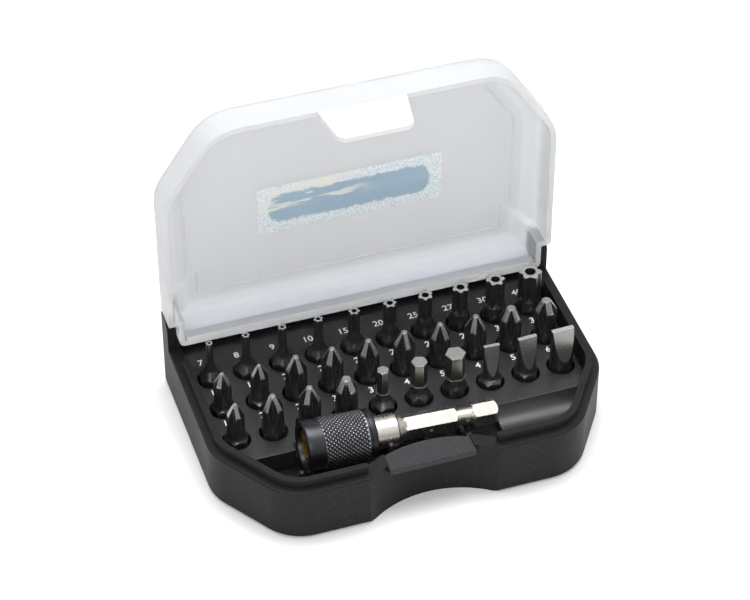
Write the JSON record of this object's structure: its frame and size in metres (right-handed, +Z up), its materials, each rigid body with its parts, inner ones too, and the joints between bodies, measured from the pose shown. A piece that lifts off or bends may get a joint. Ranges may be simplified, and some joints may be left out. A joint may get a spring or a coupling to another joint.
{
  "type": "screwdriver bit set",
  "caption": "Hinged pocket case with a clear snap lid, a rack of hex-shank screwdriver bits and a quick-release bit holder in a front trench.",
  "frame": {"origin": "centre of the flat underside of the case", "axes": "+X to the right along the hinge, +Y to the hinge side, +Z up"},
  "size_m": [0.113, 0.0758, 0.0926],
  "materials": {
    "case_black": "fine moulded grain",
    "rack_black": "satin moulded",
    "lid_clear": "frosted translucent polypropylene",
    "label": "printed sticker",
    "bit_steel": "phosphated, ground bright at the tip",
    "nickel": "satin nickel",
    "sleeve_black": "black oxide, diamond knurled",
    "spring_steel": "bright",
    "brass": "turned",
    "magnet": "nickel plated"
  },
  "bodies": {
    "case_base": {"base_shell": "case_black", "bit_rack": "rack_black"},
    "lid": {"lid": "lid_clear", "lid_label": "label"},
    "holder": {"holder_body": "nickel", "sleeve_spring": "spring_steel", "spring_stop_ring": "spring_steel", "locking_balls": "spring_steel", "mouth_bush": "brass", "socket_magnet": "magnet"},
    "sleeve": {"holder_sleeve": "sleeve_black"},
    "star_t7_bit": {"star_t7": "bit_steel"},
    "star_t8_bit": {"star_t8": "bit_steel"},
    "star_t9_bit": {"star_t9": "bit_steel"},
    "star_t10_bit": {"star_t10": "bit_steel"},
    "star_t15_bit": {"star_t15": "bit_steel"},
    "star_t20_bit": {"star_t20": "bit_steel"},
    "star_t25_bit": {"star_t25": "bit_steel"},
    "star_t27_bit": {"star_t27": "bit_steel"},
    "star_t30_bit": {"star_t30": "bit_steel"},
    "star_t40_bit": {"star_t40": "bit_steel"},
    "cross_ph1_first_bit": {"cross_ph1_first": "bit_steel"},
    "cross_ph1_second_bit": {"cross_ph1_second": "bit_steel"},
    "cross_ph2_first_bit": {"cross_ph2_first": "bit_steel"},
    "cross_ph2_second_bit": {"cross_ph2_second": "bit_steel"},
    "cross_ph2_third_bit": {"cross_ph2_third": "bit_steel"},
    "cross_ph2_fourth_bit": {"cross_ph2_fourth": "bit_steel"},
    "cross_ph2_fifth_bit": {"cross_ph2_fifth": "bit_steel"},
    "cross_ph2_sixth_bit": {"cross_ph2_sixth": "bit_steel"},
    "cross_ph3_first_bit": {"cross_ph3_first": "bit_steel"},
    "cross_ph3_second_bit": {"cross_ph3_second": "bit_steel"},
    "cross_pz1_bit": {"cross_pz1": "bit_steel"},
    "cross_pz2_first_bit": {"cross_pz2_first": "bit_steel"},
    "cross_pz2_second_bit": {"cross_pz2_second": "bit_steel"},
    "cross_pz3_bit": {"cross_pz3": "bit_steel"},
    "hex_3_bit": {"hex_3": "bit_steel"},
    "hex_4_bit": {"hex_4": "bit_steel"},
    "hex_5_bit": {"hex_5": "bit_steel"},
    "slot_4_5_bit": {"slot_4_5": "bit_steel"},
    "slot_5_5_bit": {"slot_5_5": "bit_steel"},
    "slot_6_5_bit": {"slot_6_5": "bit_steel"}
  },
  "joints": [
    {"name": "lid_hinge", "type": "hinge", "parent": "case_base", "child": "lid", "pos_m": [0, 0.0329, 0.0233], "axis": [-1, 0, 0], "range_deg": [-90, 0]},
    {"name": "holder_lift", "type": "slide", "parent": "case_base", "child": "holder", "axis": [0, 0, 1], "range_m": [0, 0.04]},
    {"name": "sleeve_pull", "type": "slide", "parent": "holder", "child": "sleeve", "axis": [0.9985, 0, -0.0541], "range_m": [0, 0.0025], "stiffness_N_per_m": 600, "springref_m": -0.001, "deforming": ["sleeve_spring"]},
    {"name": "star_t7_lift", "type": "slide", "parent": "case_base", "child": "star_t7_bit", "axis": [0, 0, 1], "range_m": [0, 0.03]},
    {"name": "star_t8_lift", "type": "slide", "parent": "case_base", "child": "star_t8_bit", "axis": [0, 0, 1], "range_m": [0, 0.03]},
    {"name": "star_t9_lift", "type": "slide", "parent": "case_base", "child": "star_t9_bit", "axis": [0, 0, 1], "range_m": [0, 0.03]},
    {"name": "star_t10_lift", "type": "slide", "parent": "case_base", "child": "star_t10_bit", "axis": [0, 0, 1], "range_m": [0, 0.03]},
    {"name": "star_t15_lift", "type": "slide", "parent": "case_base", "child": "star_t15_bit", "axis": [0, 0, 1], "range_m": [0, 0.03]},
    {"name": "star_t20_lift", "type": "slide", "parent": "case_base", "child": "star_t20_bit", "axis": [0, 0, 1], "range_m": [0, 0.03]},
    {"name": "star_t25_lift", "type": "slide", "parent": "case_base", "child": "star_t25_bit", "axis": [0, 0, 1], "range_m": [0, 0.03]},
    {"name": "star_t27_lift", "type": "slide", "parent": "case_base", "child": "star_t27_bit", "axis": [0, 0, 1], "range_m": [0, 0.03]},
    {"name": "star_t30_lift", "type": "slide", "parent": "case_base", "child": "star_t30_bit", "axis": [0, 0, 1], "range_m": [0, 0.03]},
    {"name": "star_t40_lift", "type": "slide", "parent": "case_base", "child": "star_t40_bit", "axis": [0, 0, 1], "range_m": [0, 0.03]},
    {"name": "cross_ph1_first_lift", "type": "slide", "parent": "case_base", "child": "cross_ph1_first_bit", "axis": [0, 0, 1], "range_m": [0, 0.03]},
    {"name": "cross_ph1_second_lift", "type": "slide", "parent": "case_base", "child": "cross_ph1_second_bit", "axis": [0, 0, 1], "range_m": [0, 0.03]},
    {"name": "cross_ph2_first_lift", "type": "slide", "parent": "case_base", "child": "cross_ph2_first_bit", "axis": [0, 0, 1], "range_m": [0, 0.03]},
    {"name": "cross_ph2_second_lift", "type": "slide", "parent": "case_base", "child": "cross_ph2_second_bit", "axis": [0, 0, 1], "range_m": [0, 0.03]},
    {"name": "cross_ph2_third_lift", "type": "slide", "parent": "case_base", "child": "cross_ph2_third_bit", "axis": [0, 0, 1], "range_m": [0, 0.03]},
    {"name": "cross_ph2_fourth_lift", "type": "slide", "parent": "case_base", "child": "cross_ph2_fourth_bit", "axis": [0, 0, 1], "range_m": [0, 0.03]},
    {"name": "cross_ph2_fifth_lift", "type": "slide", "parent": "case_base", "child": "cross_ph2_fifth_bit", "axis": [0, 0, 1], "range_m": [0, 0.03]},
    {"name": "cross_ph2_sixth_lift", "type": "slide", "parent": "case_base", "child": "cross_ph2_sixth_bit", "axis": [0, 0, 1], "range_m": [0, 0.03]},
    {"name": "cross_ph3_first_lift", "type": "slide", "parent": "case_base", "child": "cross_ph3_first_bit", "axis": [0, 0, 1], "range_m": [0, 0.03]},
    {"name": "cross_ph3_second_lift", "type": "slide", "parent": "case_base", "child": "cross_ph3_second_bit", "axis": [0, 0, 1], "range_m": [0, 0.03]},
    {"name": "cross_pz1_lift", "type": "slide", "parent": "case_base", "child": "cross_pz1_bit", "axis": [0, 0, 1], "range_m": [0, 0.03]},
    {"name": "cross_pz2_first_lift", "type": "slide", "parent": "case_base", "child": "cross_pz2_first_bit", "axis": [0, 0, 1], "range_m": [0, 0.03]},
    {"name": "cross_pz2_second_lift", "type": "slide", "parent": "case_base", "child": "cross_pz2_second_bit", "axis": [0, 0, 1], "range_m": [0, 0.03]},
    {"name": "cross_pz3_lift", "type": "slide", "parent": "case_base", "child": "cross_pz3_bit", "axis": [0, 0, 1], "range_m": [0, 0.03]},
    {"name": "hex_3_lift", "type": "slide", "parent": "case_base", "child": "hex_3_bit", "axis": [0, 0, 1], "range_m": [0, 0.03]},
    {"name": "hex_4_lift", "type": "slide", "parent": "case_base", "child": "hex_4_bit", "axis": [0, 0, 1], "range_m": [0, 0.03]},
    {"name": "hex_5_lift", "type": "slide", "parent": "case_base", "child": "hex_5_bit", "axis": [0, 0, 1], "range_m": [0, 0.03]},
    {"name": "slot_4_5_lift", "type": "slide", "parent": "case_base", "child": "slot_4_5_bit", "axis": [0, 0, 1], "range_m": [0, 0.03]},
    {"name": "slot_5_5_lift", "type": "slide", "parent": "case_base", "child": "slot_5_5_bit", "axis": [0, 0, 1], "range_m": [0, 0.03]},
    {"name": "slot_6_5_lift", "type": "slide", "parent": "case_base", "child": "slot_6_5_bit", "axis": [0, 0, 1], "range_m": [0, 0.03]}
  ]
}
